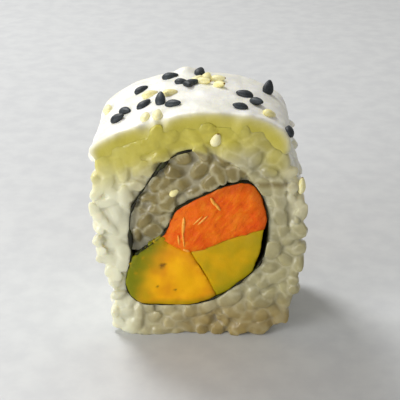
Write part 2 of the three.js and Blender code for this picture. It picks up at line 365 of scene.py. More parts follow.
class Finish:
    """A material made of nodes."""

    def __init__(self, name):
        self.material = bpy.data.materials.new(name)
        self.material.use_nodes = True
        self.tree = self.material.node_tree
        self.tree.nodes.clear()

    def node(self, kind, settings=None, sockets=None, output=0):
        """Adds a node, sets it up and feeds its sockets with values or links."""
        made = self.tree.nodes.new(kind)
        for name, value in (settings or {}).items():
            if name == "stops":
                self.set_stops(made.color_ramp, value)
            else:
                setattr(made, name, value)
        for key, value in (sockets or {}).items():
            self.feed(made.inputs[key], value)
        return Socket(self, made.outputs[output]) if made.outputs else None

    def set_stops(self, ramp, stops):
        while len(ramp.elements) < len(stops):
            ramp.elements.new(0.5)
        for element, (position, value) in zip(ramp.elements, stops):
            element.position = position
            element.color = value

    def feed(self, target, value):
        if isinstance(value, Socket):
            self.tree.links.new(value.socket, target)
        else:
            target.default_value = value

    def mix(self, share, first, second, blend="MIX"):
        settings = {"data_type": "RGBA", "blend_type": blend}
        return self.node("ShaderNodeMix", settings, {0: share, 6: first, 7: second}, output=2)

    def places(self, stretch=(1, 1, 1), turn=(0, 0, 0)):
        """Object coordinates in millimetres, turned and then drawn out along each axis."""
        own = self.node("ShaderNodeTexCoord", output=3)
        scale = tuple(MM * share for share in stretch)
        sockets = {"Vector": own, "Rotation": turn, "Scale": scale}
        return self.node("ShaderNodeMapping", {"vector_type": "TEXTURE"}, sockets)

    def noise(self, size, detail=3.0, roughness=0.55, stretch=(1, 1, 1), turn=(0, 0, 0)):
        """Random clouds about `size` millimetres wide."""
        sockets = {
            "Vector": self.places(stretch, turn),
            "Scale": 1 / size,
            "Detail": detail,
            "Roughness": roughness,
        }
        return self.node("ShaderNodeTexNoise", {}, sockets)

    def ramp(self, value, *stops):
        return self.node("ShaderNodeValToRGB", {"stops": stops}, {"Fac": value})

    def mask(self, value, low, high):
        """Turns a value into 0 below `low` and 1 above `high`."""
        settings = {"interpolation_type": "SMOOTHSTEP", "clamp": True}
        sockets = {"Value": value, "From Min": low, "From Max": high}
        return self.node("ShaderNodeMapRange", settings, sockets)

    def attribute(self, name, output=2):
        return self.node("ShaderNodeAttribute", {"attribute_name": name}, output=output)

    def bump(self, height, strength, distance):
        sockets = {"Height": height, "Strength": strength, "Distance": distance}
        return self.node("ShaderNodeBump", {}, sockets)

    def surface(self, **sockets):
        """Closes the finish with a principled surface. Underscores stand for spaces in socket names."""
        named = {name.replace("_", " "): value for name, value in sockets.items()}
        shader = self.node("ShaderNodeBsdfPrincipled", {}, named)
        self.node("ShaderNodeOutputMaterial", {}, {"Surface": shader})
        return self.material


# ---- Rice ----


def grain_shape():
    """One plump grain, lying along Z, bent a little and blunt at both ends."""
    bpy.ops.mesh.primitive_uv_sphere_add(segments=8, ring_count=6, radius=1)
    grain = bpy.context.object
    bpy.ops.object.mode_set(mode="EDIT")
    bpy.ops.transform.resize(value=GRAIN_HALF_SIZE)
    bpy.ops.object.mode_set(mode="OBJECT")
    apply_modifier(grain, "SIMPLE_DEFORM", deform_method="BEND", deform_axis="X", angle=GRAIN_BEND)
    return grain


def turned_to(direction, roll):
    """The rotation that lays Z along a direction and rolls about it."""
    turn = Vector(direction).to_track_quat("Z", "Y").to_matrix()
    return np.array(turn @ Matrix.Rotation(roll, 3, "Z"))


def joined_copies(name, shape, places, long_axis=2):
    """One mesh of many copies of a shape. Each place is a point, a 3 x 3 turn, three sizes and a tone."""
    base = points_of(shape)
    along = base[:, long_axis] / base[:, long_axis].max()
    faces = [tuple(face.vertices) for face in shape.data.polygons]
    points = []
    corners = []
    tones = []
    for index, (spot, turn, sizes, tone) in enumerate(places):
        points.append((base * sizes) @ turn.T + spot)
        first = index * len(base)
        corners.extend(tuple(first + corner for corner in face) for face in faces)
        tones.append(np.full(len(base), tone))
    mesh = bpy.data.meshes.new(name)
    mesh.from_pydata(np.vstack(points).tolist(), [], corners)
    piece = bpy.data.objects.new(name, mesh)
    bpy.context.collection.objects.link(piece)
    write_value(piece, "tone", np.concatenate(tones))
    write_value(piece, "along", np.tile(along, len(places)))
    return piece


def rice_skin_spots(random):
    """Points on the rice's open skin and cut faces, each with its normal."""
    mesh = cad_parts["rice"].data
    corners = np.array([vertex.co for vertex in mesh.vertices])
    faces = np.array([tuple(face.vertices) for face in mesh.polygons])
    first, second, third = (corners[faces[:, k]] for k in range(3))
    cross = np.cross(second - first, third - first)
    areas = np.linalg.norm(cross, axis=1) / 2
    chosen = random.choice(len(faces), GRAIN_TRIES, p=areas / areas.sum())
    u = np.sqrt(random.random(GRAIN_TRIES))[:, None]
    v = random.random(GRAIN_TRIES)[:, None]
    spots = first[chosen] * (1 - u) + second[chosen] * (u * (1 - v)) + third[chosen] * (u * v)
    normals = cross[chosen] / (2 * areas[chosen])[:, None]
    cut_face = np.abs(normals[:, 1]) > 0.5
    wall = distances_to(spots, INSIDE_NODES, 0.6 * MM) < 0.59 * MM
    under_cream = distances_to(spots, ("cream_topping",), 0.5 * MM) < 0.49 * MM
    under_foot = (spots[:, 2] < 0.3 * MM) & (normals[:, 2] < -0.7)
    kept = ~under_foot & (cut_face | ~(wall | under_cream))
    return spots[kept], normals[kept]


def depth_inside(node, point, reach):
    """How deep a point lies inside a solid, or 0 where it is outside."""
    spot, normal, _, distance = solid_trees[node].find_nearest(point, reach)
    return distance if spot is not None and (point - spot).dot(normal) < 0 else 0.0


def grain_fits(spot, direction, half_length, clearance, on_cut):
    """Whether a grain lying there stays clear of the nori and the fillings, and out of the cream."""
    for share in (-0.8, -0.4, 0, 0.4, 0.8):
        point = Vector(spot + direction * half_length * share)
        for node in INSIDE_NODES:
            if solid_trees[node].find_nearest(point, clearance)[0] is not None:
                return False
        if on_cut:
            if depth_inside("cream_topping", point, 3 * MM) > 1.0 * MM:
                return False
        elif solid_trees["cream_topping"].find_nearest(point, 0.4 * MM)[0] is not None:
            return False
    return True


def grain_places(random):
    """Where each grain lies: half in the rice's skin, clear of what the rice wraps."""
    spots, normals = rice_skin_spots(random)
    places = []
    cells = {}
    for spot, normal in zip(spots, normals):
        spacing = GRAIN_SPACING * random.uniform(0.9, 1.2)
        cell = tuple(np.floor(spot / GRAIN_CELL).astype(int))
        near = [
            other
            for dx in (-1, 0, 1)
            for dy in (-1, 0, 1)
            for dz in (-1, 0, 1)
            for other in cells.get((cell[0] + dx, cell[1] + dy, cell[2] + dz), ())
        ]
        if near and np.min(np.linalg.norm(np.array(near) - spot, axis=1)) < spacing:
            continue
        on_cut = abs(normal[1]) > 0.7
        inner = on_cut and in_crescent(spot[None])[0] > 0.5
        size = random.uniform(0.95, 1.2) if inner else random.uniform(0.76, 1.12)
        shape = CUT_GRAIN if on_cut else FLANK_GRAIN
        centre = spot - normal * random.uniform(0.7, 1.25) * MM
        for attempt in range(9):
            lift = random.uniform(-0.8, 0.8) if on_cut else random.uniform(-0.3, 0.3)
            direction = random.normal(size=3)
            direction -= normal * direction.dot(normal)
            direction = direction / np.linalg.norm(direction) + normal * lift
            direction /= np.linalg.norm(direction)
            if attempt > 4:
                size *= 0.85
            if grain_fits(centre, direction, GRAIN_HALF_SIZE[2] * size, 1.05 * MM * size, on_cut):
                turn = turned_to(direction, random.uniform(0, 2 * math.pi))
                sizes = size * random.uniform(0.85, 1.15, 3) * shape
                places.append((centre, turn, sizes, random.uniform(-1, 1)))
                cells.setdefault(cell, []).append(spot)
                break
    return places


def rice_core():
    """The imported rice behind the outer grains, closed over the nori's slot."""
    core = copy_of_solid("rice", "rice_mass")
    apply_modifier(core, "REMESH", mode="VOXEL", voxel_size=CORE_VOXEL)
    lean_on(core, "nori", 0.6 * MM, 1.0, push=0.35 * MM)
    lean_on(core, "cream_topping", 0.6 * MM, 0.9)
    points = points_of(core)
    normals = normals_of(core)
    inner = distances_to(points, INSIDE_NODES + ("cream_topping",), 1.6 * MM)
    open_share = smooth_step(0.5 * MM, 1.5 * MM, inner)
    across = normals * [1, 0, 1]
    points -= across * CORE_DEPTH * open_share[:, None] * (points[:, 2] > 0.8 * MM)[:, None]
    face_depth = CORE_FACE_DEPTH * (1 - 0.8 * under_cream(points, 5 * MM))
    points[:, 1] *= 1 - face_depth / HALF_LENGTH
    place_points(core, points)
    return core


def press_in(points):
    """Presses back what stands past the cut faces, the flanks and the foot, as knife and mat do."""
    for axis, limit in ((0, FLANK_LIMIT), (1, HALF_LENGTH - FACE_RECESS)):
        past = np.maximum(np.abs(points[:, axis]) - limit, 0)
        points[:, axis] -= np.sign(points[:, axis]) * past * 0.6
    points[:, 2] = np.maximum(points[:, 2], 0)
    return points


# The lower and upper edges of the rice inside the nori's upper turn: x and z in millimetres.
CRESCENT_UNDER = ((-12.5, -6.4, -4.3, 1.2, 5, 10.3), (18.5, 23.6, 28, 31.4, 33.6, 34.4))
CRESCENT_OVER = ((-13.1, -12.4, -8.6, -4, 0, 5, 9, 10.3), (24, 29, 35, 39.8, 40.6, 39, 36.4, 34.4))


def in_crescent(points):
    """1 in the rice that the nori's upper turn holds, 0 outside it."""
    x, _, z = points.T / MM
    below = np.interp(x, *CRESCENT_UNDER) - z - 0.9
    outside = np.maximum(below, z - np.interp(x, *CRESCENT_OVER))
    return smooth_step(0.6, -0.6, outside) * smooth_step(-13.4, -12.8, x)


def under_cream(points, reach):
    """1 right beside the cream, fading to 0 at this reach."""
    return smooth_step(reach, 0.15 * reach, distances_to(points, ("cream_topping",), reach))


def smooth_faces(piece):
    """Smears the cut faces as the knife does, most of all right under the cream and at the left."""
    points = points_of(piece)
    near_face = np.abs(points[:, 1]) > 8.5 * MM
    share = np.zeros(len(points))
    found = points[near_face]
    left = smooth_step(-11 * MM, -16 * MM, found[:, 0])
    near_cream = smooth_step(8 * MM, 4 * MM, distances_to(found, ("cream_topping",), 8 * MM))
    smeared = np.maximum(np.maximum(near_cream, left * 0.95), 0.6)
    share[near_face] = smeared * (1 - 0.8 * in_crescent(found))
    facing = smooth_step(0.3, 0.7, np.abs(normals_of(piece)[:, 1])) + 0.001
    soft = soften(piece, points[:, 1] * facing, 30) / soften(piece, facing, 30)
    points[:, 1] += (soft - points[:, 1]) * share * np.minimum(facing, 1)
    points[near_face, 1] *= 1 + near_cream * 0.15 * MM / HALF_LENGTH
    place_points(piece, points)


def sink_hollows(points):
    """Sinks the inner rice's front face and the few hollows, and bulges the lip along the foot."""
    front = smooth_step(-6 * MM, -11 * MM, points[:, 1])
    depth = 0.5 * MM * in_crescent(points)
    for x, z, radius, extra in RICE_HOLLOWS:
        away = np.hypot(points[:, 0] - x * MM, points[:, 2] - z * MM) / (radius * MM)
        depth += extra * MM * smooth_step(1, 0.25, away)
    points[:, 1] += front * depth
    return points


def rice_tint(red, green, blue):
    return np.array(colour(red, green, blue)[:3])


# White on the outside. On the cut faces: beige in general, partly painted shade; darker at the right,
# painted shade; lighter at the left, painted light; darker along the foot and inside the nori's upper
# turn, painted shade; a yellow-green painted shade beside the cream. Last, the pale rims of the grains, a
# painted highlight, and the painted shade in the creases.
RICE_WHITE = rice_tint(238, 237, 226)
RICE_FACE = rice_tint(184, 177, 140)
RICE_RIGHT_SHADE = rice_tint(170, 163, 124)
RICE_LEFT_LIT = rice_tint(226, 225, 198)
RICE_FOOT_SHADE = rice_tint(155, 134, 80)
RICE_CRESCENT_SHADE = rice_tint(133, 118, 66)
RICE_CREAM_SHADE = rice_tint(192, 180, 52)
RICE_RIM = rice_tint(230, 225, 194)
CREASE_SHADE = (0.4, 0.44, 0.55)


def nearest_grains(points, places):
    """The number of each point's nearest grain, and how much further off the next grain is."""
    steps = (-0.6, -0.3, 0, 0.3, 0.6)
    line = kdtree.KDTree(len(places) * len(steps))
    for index, (spot, turn, sizes, _) in enumerate(places):
        along = turn[:, 2] * GRAIN_HALF_SIZE[2] * sizes[2]
        for step in steps:
            line.insert(Vector(spot + along * step), index)
    line.balance()
    owners = np.zeros(len(points), int)
    lead = np.full(len(points), 5 * MM)
    for index, point in enumerate(points):
        found = line.find_n(Vector(point), 7)
        owners[index] = found[0][1]
        for _, owner, distance in found[1:]:
            if owner != owners[index]:
                lead[index] = distance - found[0][2]
                break
    return owners, lead


def blend_colour(colours, other, share):
    return colours * (1 - share[:, None]) + other * share[:, None]


def depth_and_slope(points, normals):
    """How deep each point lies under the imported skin, and how far its own skin is turned from it."""
    depth = np.zeros(len(points))
    slope = np.zeros(len(points))
    for index, (point, own) in enumerate(zip(points, normals)):
        spot, normal, _, distance = solid_trees["rice"].find_nearest(Vector(point), 2.5 * MM)
        if spot is None:
            continue
        inside = (Vector(point) - spot).dot(normal) < 0
        depth[index] = distance if inside else -distance
        slope[index] = 1 - abs(normal.dot(Vector(own)))
    return depth, slope


def rice_colours(piece, tones, lead):
    """The rice's colour from place to place: white outside, glassy at the cuts, with painted light and
    shade.
    """
    points = points_of(piece)
    x, y, z = points.T / MM
    face = smooth_step(9.0, 11.0, np.abs(y))
    inner = in_crescent(points)
    # A yellow-green painted shade on the cut face beside and under the cream, weaker to the right and low
    # at the left.
    cream_shade = under_cream(points, 9 * MM)
    cream_shade = np.maximum(cream_shade - 0.45 * smooth_step(4, 12, x), 0)
    colours = np.tile(RICE_FACE, (len(points), 1))
    # Painted shade to the right, along the foot and inside the nori's turn; painted light to the left.
    colours = blend_colour(colours, RICE_RIGHT_SHADE, smooth_step(4, 13, x))
    low = smooth_step(12, 3, z) * smooth_step(-15, 3, x)
    colours = blend_colour(colours, RICE_FOOT_SHADE, low * 0.95)
    colours = blend_colour(colours, RICE_LEFT_LIT, smooth_step(-11, -16, x))
    colours = blend_colour(colours, RICE_CRESCENT_SHADE, inner * 0.95)
    # Painted shade on the lower part of the rice inside the nori's turn.
    shaded = 1 - 0.42 * inner * smooth_step(26, 20, z)
    pale = 1 - 0.35 * smooth_step(-13, -17, x) * smooth_step(39, 35, z)
    cream_shade_share = np.minimum(cream_shade * 1.2, 1) * 0.88 * pale * (1 - inner)
    colours = blend_colour(colours, RICE_CREAM_SHADE, cream_shade_share)
    edge = smooth_step(15, 18, x) * smooth_step(24, 32, z)
    colours = blend_colour(colours, RICE_RIM, edge * 0.6)
    colours = blend_colour(np.tile(RICE_WHITE, (len(points), 1)), colours, face)
    depth, slope = depth_and_slope(points, normals_of(piece))
    # Darker deep in the creases between the grains: painted shade.
    crease = smooth_step(0.8 * MM, 2.0 * MM, depth)
    # Pale rims where the skin turns away or two grains meet: a painted highlight.
    rim = np.maximum(smooth_step(0.15, 0.6, slope), smooth_step(0.6 * MM, 0.1 * MM, lead) * 0.8)
    rim *= 1 - crease
    # Within that painted shade the grains' tones are calmed and their rims lightened, a painted
    # highlight.
    in_cream_shade = np.minimum(cream_shade, 1)
    smeared = in_cream_shade * smooth_step(2, -6, x)
    colours = blend_colour(colours, RICE_RIM, rim * (0.34 - 0.12 * low) * (1 - in_cream_shade))
    colours *= (1 + 0.2 * rim * in_cream_shade * (1 - 0.8 * smeared))[:, None]
    colours *= (1 + 0.09 * tones * (1 - 0.8 * smeared))[:, None]
    crease *= (1 - 0.8 * in_cream_shade) * (1 - 0.4 * low)
    return colours * shaded[:, None] * (1 - crease[:, None] * CREASE_SHADE)


def rice_finish():
    finish = Finish("sticky_rice")
    tint = finish.attribute("rice_tint", output=0)
    cloudy = finish.noise(1.6, detail=3)
    fine = finish.noise(0.35, detail=4)
    lit = finish.mix(finish.mask(cloudy, 0.35, 0.7) * 0.3, tint, colour(250, 248, 230), "SOFT_LIGHT")
    relief = cloudy * 0.6 + fine * 0.4
    return finish.surface(
        Base_Color=lit,
        Roughness=finish.mask(fine, 0.3, 0.75) * 0.16 + 0.28,
        Subsurface_Weight=0.7,
        Subsurface_Radius=(1.0, 0.9, 0.65),
        Subsurface_Scale=1.5 * MM,
        Coat_Weight=finish.mask(cloudy, 0.4, 0.65) * 0.5,
        Coat_Roughness=0.16,
        Normal=finish.bump(relief, 0.35, 0.12 * MM),
    )


def make_rice():
    random = np.random.default_rng(11)
    grain = grain_shape()
    places = grain_places(random)
    on_flank = [place for place in places if abs(place[0][1]) < HALF_LENGTH - 2.6 * MM]
    loose = on_flank[::LOOSE_GRAIN_EVERY]
    pressed_in = [place for place in places if not any(place is other for other in loose)]
    mass = join_into(rice_core(), joined_copies("pressed_grains", grain, pressed_in))
    apply_modifier(mass, "REMESH", mode="VOXEL", voxel_size=RICE_VOXEL)
    apply_modifier(mass, "SMOOTH", factor=0.5, iterations=1)
    smooth_faces(mass)
    place_points(mass, press_in(points_of(mass)))
    nori_room = copy_of_solid("nori", "nori_room")
    place_points(nori_room, points_of(nori_room) * [1, NORI_ROOM_LENGTHENED, 1])
    apply_modifier(mass, "BOOLEAN", object=nori_room, operation="DIFFERENCE", solver="MANIFOLD")
    bpy.data.objects.remove(nori_room)
    settle_on_nori(mass)
    place_points(mass, sink_hollows(points_of(mass)))
    thin_to(mass, RICE_TRIANGLES)
    grains = joined_copies("rice_grains", grain, loose)
    place_points(grains, sink_hollows(press_in(points_of(grains))))
    bpy.data.objects.remove(grain)
    material = rice_finish()
    for piece in (mass, grains):
        owners, lead = nearest_grains(points_of(piece), places)
        tones = np.array([place[3] for place in places])[owners]
        write_colour(piece, "rice_tint", rice_colours(piece, tones, lead))
        shade_smooth(piece)
        finish_piece(piece, "rice", material, "rice")


# ---- Cream ----


def cream_finish():
    finish = Finish("white_cream")
    cut = finish.attribute("cut")
    soft = finish.noise(5, detail=2)
    fine = finish.noise(0.5, detail=4)
    white = finish.mix(finish.mask(soft, 0.35, 0.7), colour(252, 251, 244), colour(246, 245, 232))
    # The cut ends are given a yellow-green painted shade.
    shade = finish.mix(finish.mask(soft, 0.3, 0.7), colour(188, 176, 50), colour(203, 191, 80))
    brushed = finish.noise(1.1, detail=4, stretch=(0.8, 2.4, 1))
    relief = brushed * 0.6 + fine * 0.4
    return finish.surface(
        Base_Color=finish.mix(cut, white, shade),
        Roughness=finish.mask(fine, 0.3, 0.7) * 0.15 + 0.34,
        Subsurface_Weight=0.25,
        Subsurface_Radius=(1.0, 0.9, 0.6),
        Subsurface_Scale=1.2 * MM,
        Coat_Weight=finish.mask(soft, 0.5, 0.75) * 0.3,
        Coat_Roughness=0.2,
        Normal=finish.bump(relief, 0.45, 0.2 * MM),
    )


# Nicks in the front edge of the cream: x, z, radius and depth. Peaks on its top: x, y, radius and height.
CREAM_NOTCHES = [(-9.4, 46.0, 2.2, 0.9), (-6.9, 46.6, 1.6, 0.7), (6.5, 48.6, 3.0, 0.4)]
CREAM_PEAKS = [
    (-3.6, 10.6, 2.6, 0.7), (-1.2, 11.4, 1.6, 0.4), (11.5, 2.0, 3.4, 0.35), (-13.5, 8.0, 3.0, 0.4),
]


def make_cream():
    cream = copy_of_solid("cream_topping", "cream")
    apply_modifier(cream, "REMESH", mode="VOXEL", voxel_size=CREAM_VOXEL)
    lean_on(cream, "rice", 0.6 * MM, 0.5, push=0.1 * MM)
    apply_modifier(cream, "SMOOTH", factor=0.5, iterations=5)
    points = points_of(cream)
    end = smooth_step(8.5 * MM, 11 * MM, np.abs(points[:, 1]))
    to_rice = distances_to(points, ("rice",), 3.2 * MM)
    seat = smooth_step(2.4 * MM, 0.4 * MM, to_rice) * end
    lean = np.clip(1.15 - to_rice / (2.8 * MM), 0, 1) * end
    points[:, 1] *= 1 - CREAM_LEAN / HALF_LENGTH * lean
    hem = CREAM_HEM + CREAM_HEM_MORE * smooth_step(17 * MM, 13 * MM, np.abs(points[:, 0]))
    points[:, 2] -= hem * MM * seat
    place_points(cream, points)
    lumps(cream, "cream_swells", 6 * MM, 0.8 * MM)
    lumps(cream, "cream_dimples", 2.2 * MM, 0.3 * MM)
    points = points_of(cream)
    past = np.maximum(np.abs(points[:, 1]) - HALF_LENGTH, 0)
    points[:, 1] -= np.sign(points[:, 1]) * past * 0.7
    for x, z, radius, depth in CREAM_NOTCHES:
        notch = Vector((x * MM, -HALF_LENGTH, z * MM))
        away = np.linalg.norm(points - np.array(notch), axis=1) / (radius * MM)
        points += np.outer(smooth_step(1, 0.1, away) * depth * MM, (0, 0.9, -0.45))
    for x, y, radius, height in CREAM_PEAKS:
        away = np.hypot(points[:, 0] - x * MM, points[:, 1] - y * MM) / (radius * MM)
        points[:, 2] += smooth_step(1, 0.1, away) * height * MM
    place_points(cream, points)
    # Marks the cut ends and the hem over the rice for the painted yellow-green shade.
    facing = smooth_step(0.7, 0.93, np.abs(normals_of(cream)[:, 1]))
    near_end = smooth_step(HALF_LENGTH - 2 * MM, HALF_LENGTH - 1.0 * MM, np.abs(points[:, 1]))
    write_value(cream, "cut", soften(cream, np.maximum(facing, seat) * near_end, 6))
    shade_smooth(cream)
    finish_piece(cream, "cream", cream_finish(), "cream_topping")


# ---- Nori ----


def nori_finish():
    finish = Finish("damp_nori")
    blotches = finish.noise(1.2, detail=4)
    fine = finish.noise(0.25, detail=4)
    base = finish.ramp(
        blotches,
        (0.3, colour(16, 15, 6)),
        (0.55, colour(36, 34, 12)),
        (0.75, colour(74, 84, 20)),
    )
    return finish.surface(
        Base_Color=base,
        Roughness=finish.mask(fine, 0.3, 0.7) * 0.25 + 0.45,
        Specular_IOR_Level=0.3,
        Normal=finish.bump(fine, 0.5, 0.1 * MM),
    )


def make_nori():
    nori = copy_of_solid("nori", "nori_sheet")
    apply_modifier(nori, "REMESH", mode="VOXEL", voxel_size=NORI_VOXEL)
    points = points_of(nori)
    spots, outward, distances = nearest_nori(points)
    from_middle = np.maximum(NORI_HALF_THICKNESS - distances, 0)
    points += outward * (from_middle * (nori_half(points) / NORI_HALF_THICKNESS - 1))[:, None]
    length = (HALF_LENGTH - NORI_RECESS) / np.abs(points[:, 1]).max()
    ragged = 1 + 0.04 * np.minimum(wander(points * [1, 0, 1], 1.9 * MM, 7.7), 0.3)
    points[:, 1] *= length * ragged
    place_points(nori, points)
    thin_to(nori, NORI_TRIANGLES)
    shade_smooth(nori)
    finish_piece(nori, "nori", nori_finish(), "nori")


# ---- Salmon and avocado ----


def right_gap(points):
    """The open gap between the fillings and the nori on the right, widest low down."""
    x, _, z = points.T / MM
    beside = smooth_step(10.2, 11.8, x) * smooth_step(13.2, 15.5, z)
    return beside * (0.75 * smooth_step(27, 23, z) + 0.2) * smooth_step(33.5, 31, z) * MM


def filling_piece(node, name):
    """A filling grown from its solid until it touches the nori and its neighbours."""
    piece = copy_of_solid(node, name)
    apply_modifier(piece, "REMESH", mode="VOXEL", voxel_size=FILLING_VOXEL)
    apply_modifier(piece, "SMOOTH", factor=0.5, iterations=1)
    for neighbour in FILLINGS:
        if neighbour != node:
            lean_on(piece, neighbour, 0.8 * MM, 0.5, push=0.04 * MM)
    settle_on_nori(piece, right_gap)
    return piece


def salmon_finish():
    finish = Finish("moist_salmon")
    slant = (0, math.radians(-52), 0)
    fibres = finish.noise(0.8, detail=5, roughness=0.62, stretch=(2.6, 1.4, 0.8), turn=slant)
    broad = finish.noise(4, detail=2)
    fine = finish.noise(0.3, detail=4)
    flesh = finish.mix(finish.mask(broad, 0.35, 0.65), colour(240, 94, 0), colour(248, 118, 0))
    streaked = finish.mix(finish.mask(fibres, 0.5, 0.72) * 0.6, flesh, colour(252, 152, 20))
    red = finish.mix(finish.mask(fibres, 0.46, 0.3) * 0.55, streaked, colour(212, 62, 0))
    dark = finish.mix(finish.attribute("shade") * 0.55, red, colour(186, 84, 0))
    relief = fibres * 0.7 + fine * 0.3
    return finish.surface(
        Base_Color=dark,
        Roughness=finish.mask(fine, 0.3, 0.7) * 0.2 + 0.28,
        Subsurface_Weight=0.25,
        Subsurface_Radius=(1.0, 0.35, 0.1),
        Subsurface_Scale=1.0 * MM,
        Specular_IOR_Level=0.22,
        Coat_Weight=finish.mask(broad, 0.5, 0.75) * 0.25,
        Coat_Roughness=0.18,
        Normal=finish.bump(relief, 0.8, 0.35 * MM),
    )


# Pale slivers on the salmon's front: the x and z of both ends and the half width, in millimetres.
SLIVERS = [
    (-2.7, 26.9, -3.0, 22.6, 0.36), (-3.0, 23.6, -2.7, 20.2, 0.18), (-3.9, 23.0, -3.7, 20.6, 0.2),
    (2.4, 31.1, 3.4, 29.4, 0.34), (3.1, 30.2, 4.3, 28.4, 0.32), (1.9, 27.3, -0.2, 25.1, 0.2),
    (0.9, 27.2, -1.0, 25.2, 0.16), (-3.0, 19.8, -1.6, 19.3, 0.3),
]


def make_slivers(salmon):
    tree = tree_of(salmon.data)
    grain = grain_shape()
    places = []
    for x, z, end_x, end_z, half_width in SLIVERS:
        middle = Vector(((x + end_x) / 2 * MM, -0.05, (z + end_z) / 2 * MM))
        spot = tree.ray_cast(middle, Vector((0, 1, 0)))[0]
        run = Vector((end_x - x, 0, end_z - z)) * MM
        sizes = np.array((half_width * MM, half_width * MM, run.length / 2)) / GRAIN_HALF_SIZE
        places.append((np.array(spot), turned_to(run, 1.2), sizes, 0.0))
    slivers = joined_copies("salmon_slivers", grain, places)
    bpy.data.objects.remove(grain)
    finish = Finish("pale_fibre")
    fine = finish.noise(0.4, detail=3)
    base = finish.mix(finish.mask(fine, 0.3, 0.7), colour(250, 150, 26), colour(252, 192, 84))
    shade_smooth(slivers)
    finish_piece(slivers, "salmon", finish.surface(Base_Color=base, Roughness=fine * 0.2 + 0.3))


def make_salmon():
    salmon = filling_piece("salmon", "salmon_flesh")
    lumps(salmon, "salmon_flakes", 2.6 * MM, 0.55 * MM, basis="VORONOI_F1")
    lumps(salmon, "salmon_threads", 0.9 * MM, 0.25 * MM)
    points = points_of(salmon)
    to_nori = distances_to(points, ("nori",), 2.2 * MM)
    to_right = smooth_step(-6 * MM, 10 * MM, points[:, 0])
    write_value(salmon, "shade", smooth_step(2.2 * MM, 0.7 * MM, to_nori) * to_right)
    shade_smooth(salmon)
    finish_piece(salmon, "salmon", salmon_finish(), "salmon")
    make_slivers(salmon)


def avocado_finish(name, flesh, deep, rim):
    finish = Finish(name)
    broad = finish.noise(5, detail=2)
    fine = finish.noise(0.35, detail=4)
    mottle = finish.noise(1.3, detail=3)
    smooth = finish.mix(finish.mask(broad, 0.3, 0.7), flesh, deep)
    green = finish.mix(finish.attribute("rim"), smooth, rim)
    mottled = finish.mix(finish.mask(mottle, 0.55, 0.75) * 0.3, green, deep)
    bruise = finish.attribute("bruise") * finish.mask(mottle, 0.35, 0.6)
    bruised = finish.mix(bruise, mottled, colour(118, 78, 4))
    relief = mottle * 0.6 + fine * 0.4
    return finish.surface(
        Base_Color=bruised,
        Roughness=finish.mask(fine, 0.3, 0.7) * 0.2 + 0.3,
        Subsurface_Weight=0.2,
        Subsurface_Radius=(1.0, 0.7, 0.1),
        Subsurface_Scale=1.0 * MM,
        Specular_IOR_Level=0.22,
        Coat_Weight=finish.mask(broad, 0.5, 0.75) * 0.2,
        Coat_Roughness=0.2,
        Normal=finish.bump(relief, 0.35, 0.15 * MM),
    )


# The line where the left avocado turns green: z and x in millimetres.
GREEN_LINE = ((6, 13, 17.3, 20.7, 23), (-11.6, -10.9, -9.2, -7.2, -5.6))

# Bruises on the left avocado: x, z and radius. Tufts along its upper edge: x and z. All in millimetres.
BRUISES = [(-7.2, 15.6, 0.9), (-6.6, 16.1, 0.5), (-8.2, 11.0, 0.5), (-4.6, 10.2, 0.4)]
TUFTS = [
    (-13.0, 18.2), (-11.9, 19.6), (-10.7, 20.5), (-9.5, 21.0), (-8.3, 21.4), (-7.2, 21.3), (-13.6, 16.6),
]


def make_avocado(node, slot, flesh, deep, rim, rim_width):
    avocado = filling_piece(node, node + "_flesh")
    lumps(avocado, node + "_lumps", 4 * MM, 0.5 * MM)
    points = points_of(avocado)
    x, _, z = points.T / MM
    to_skin = distances_to(points, ("nori",), rim_width)
    green = 0.6 * (1 - smooth_step(0.1 * MM, rim_width, to_skin))
    line = np.interp(z, *GREEN_LINE) + 1.1 * wander(points, 2.2 * MM, 1.9)
    write_value(avocado, "rim", np.maximum(green, smooth_step(3.6, -2.4, x - line)))
    bruise = np.zeros(len(points))
    for at_x, at_z, radius in BRUISES:
        bruise = np.maximum(bruise, smooth_step(radius, 0.2 * radius, np.hypot(x - at_x, z - at_z)))
    write_value(avocado, "bruise", bruise * (points[:, 1] < 0))
    tuft = np.zeros(len(points))
    for at_x, at_z in TUFTS:
        tuft = np.maximum(tuft, smooth_step(1.6, 0.5, np.hypot(x - at_x, z - at_z)))
    tuft *= smooth_step(-9 * MM, -11 * MM, points[:, 1])
    points += normals_of(avocado) * (tuft * (1.1 * wander(points, 0.6 * MM, 4.2) + 0.3) * MM)[:, None]
    place_points(avocado, points)
    shade_smooth(avocado)
    finish_piece(avocado, slot, avocado_finish(node + "_finish", flesh, deep, rim), node)


# ---- Sesame ----

# Seeds on top: x and y in millimetres, turn about the upright and tip of the point upwards in degrees.
BLACK_ON_TOP = [
    (-6.5, 8.2, 5, 0), (-12.0, 4.6, 40, 0), (-3.9, 4.0, -15, 0), (-2.5, 2.2, -75, 10),
    (-1.9, 3.2, 20, 12),
    (-10.7, -3.4, 35, 5), (-7.4, -3.8, 80, 35), (-4.9, -6.2, -25, 5), (-14.4, -3.0, -38, 0),
    (-15.6, -5.2, -10, 12), (-0.6, 9.8, 80, 10), (8.5, -1.4, 172, 5), (10.7, -5.0, -50, 25),
    (7.7, -8.3, 192, 10), (13.0, 5.6, 95, 55), (16.7, -10.0, 100, 10),
]
WHITE_ON_TOP = [
    (-10.0, 0.8, 14, 0), (-5.9, -0.9, 10, -5), (0.9, 6.0, 80, 15), (-1.0, 4.4, 40, 20),
    (3.2, 5.6, -10, 10),
    (3.6, 1.4, -50, 20), (0.4, 3.8, -30, 10), (13.2, -7.6, 40, 0), (-9.9, -9.2, 80, 0),
    (-7.6, -9.9, 85, 5), (-18.6, 3.3, 90, 10),
]

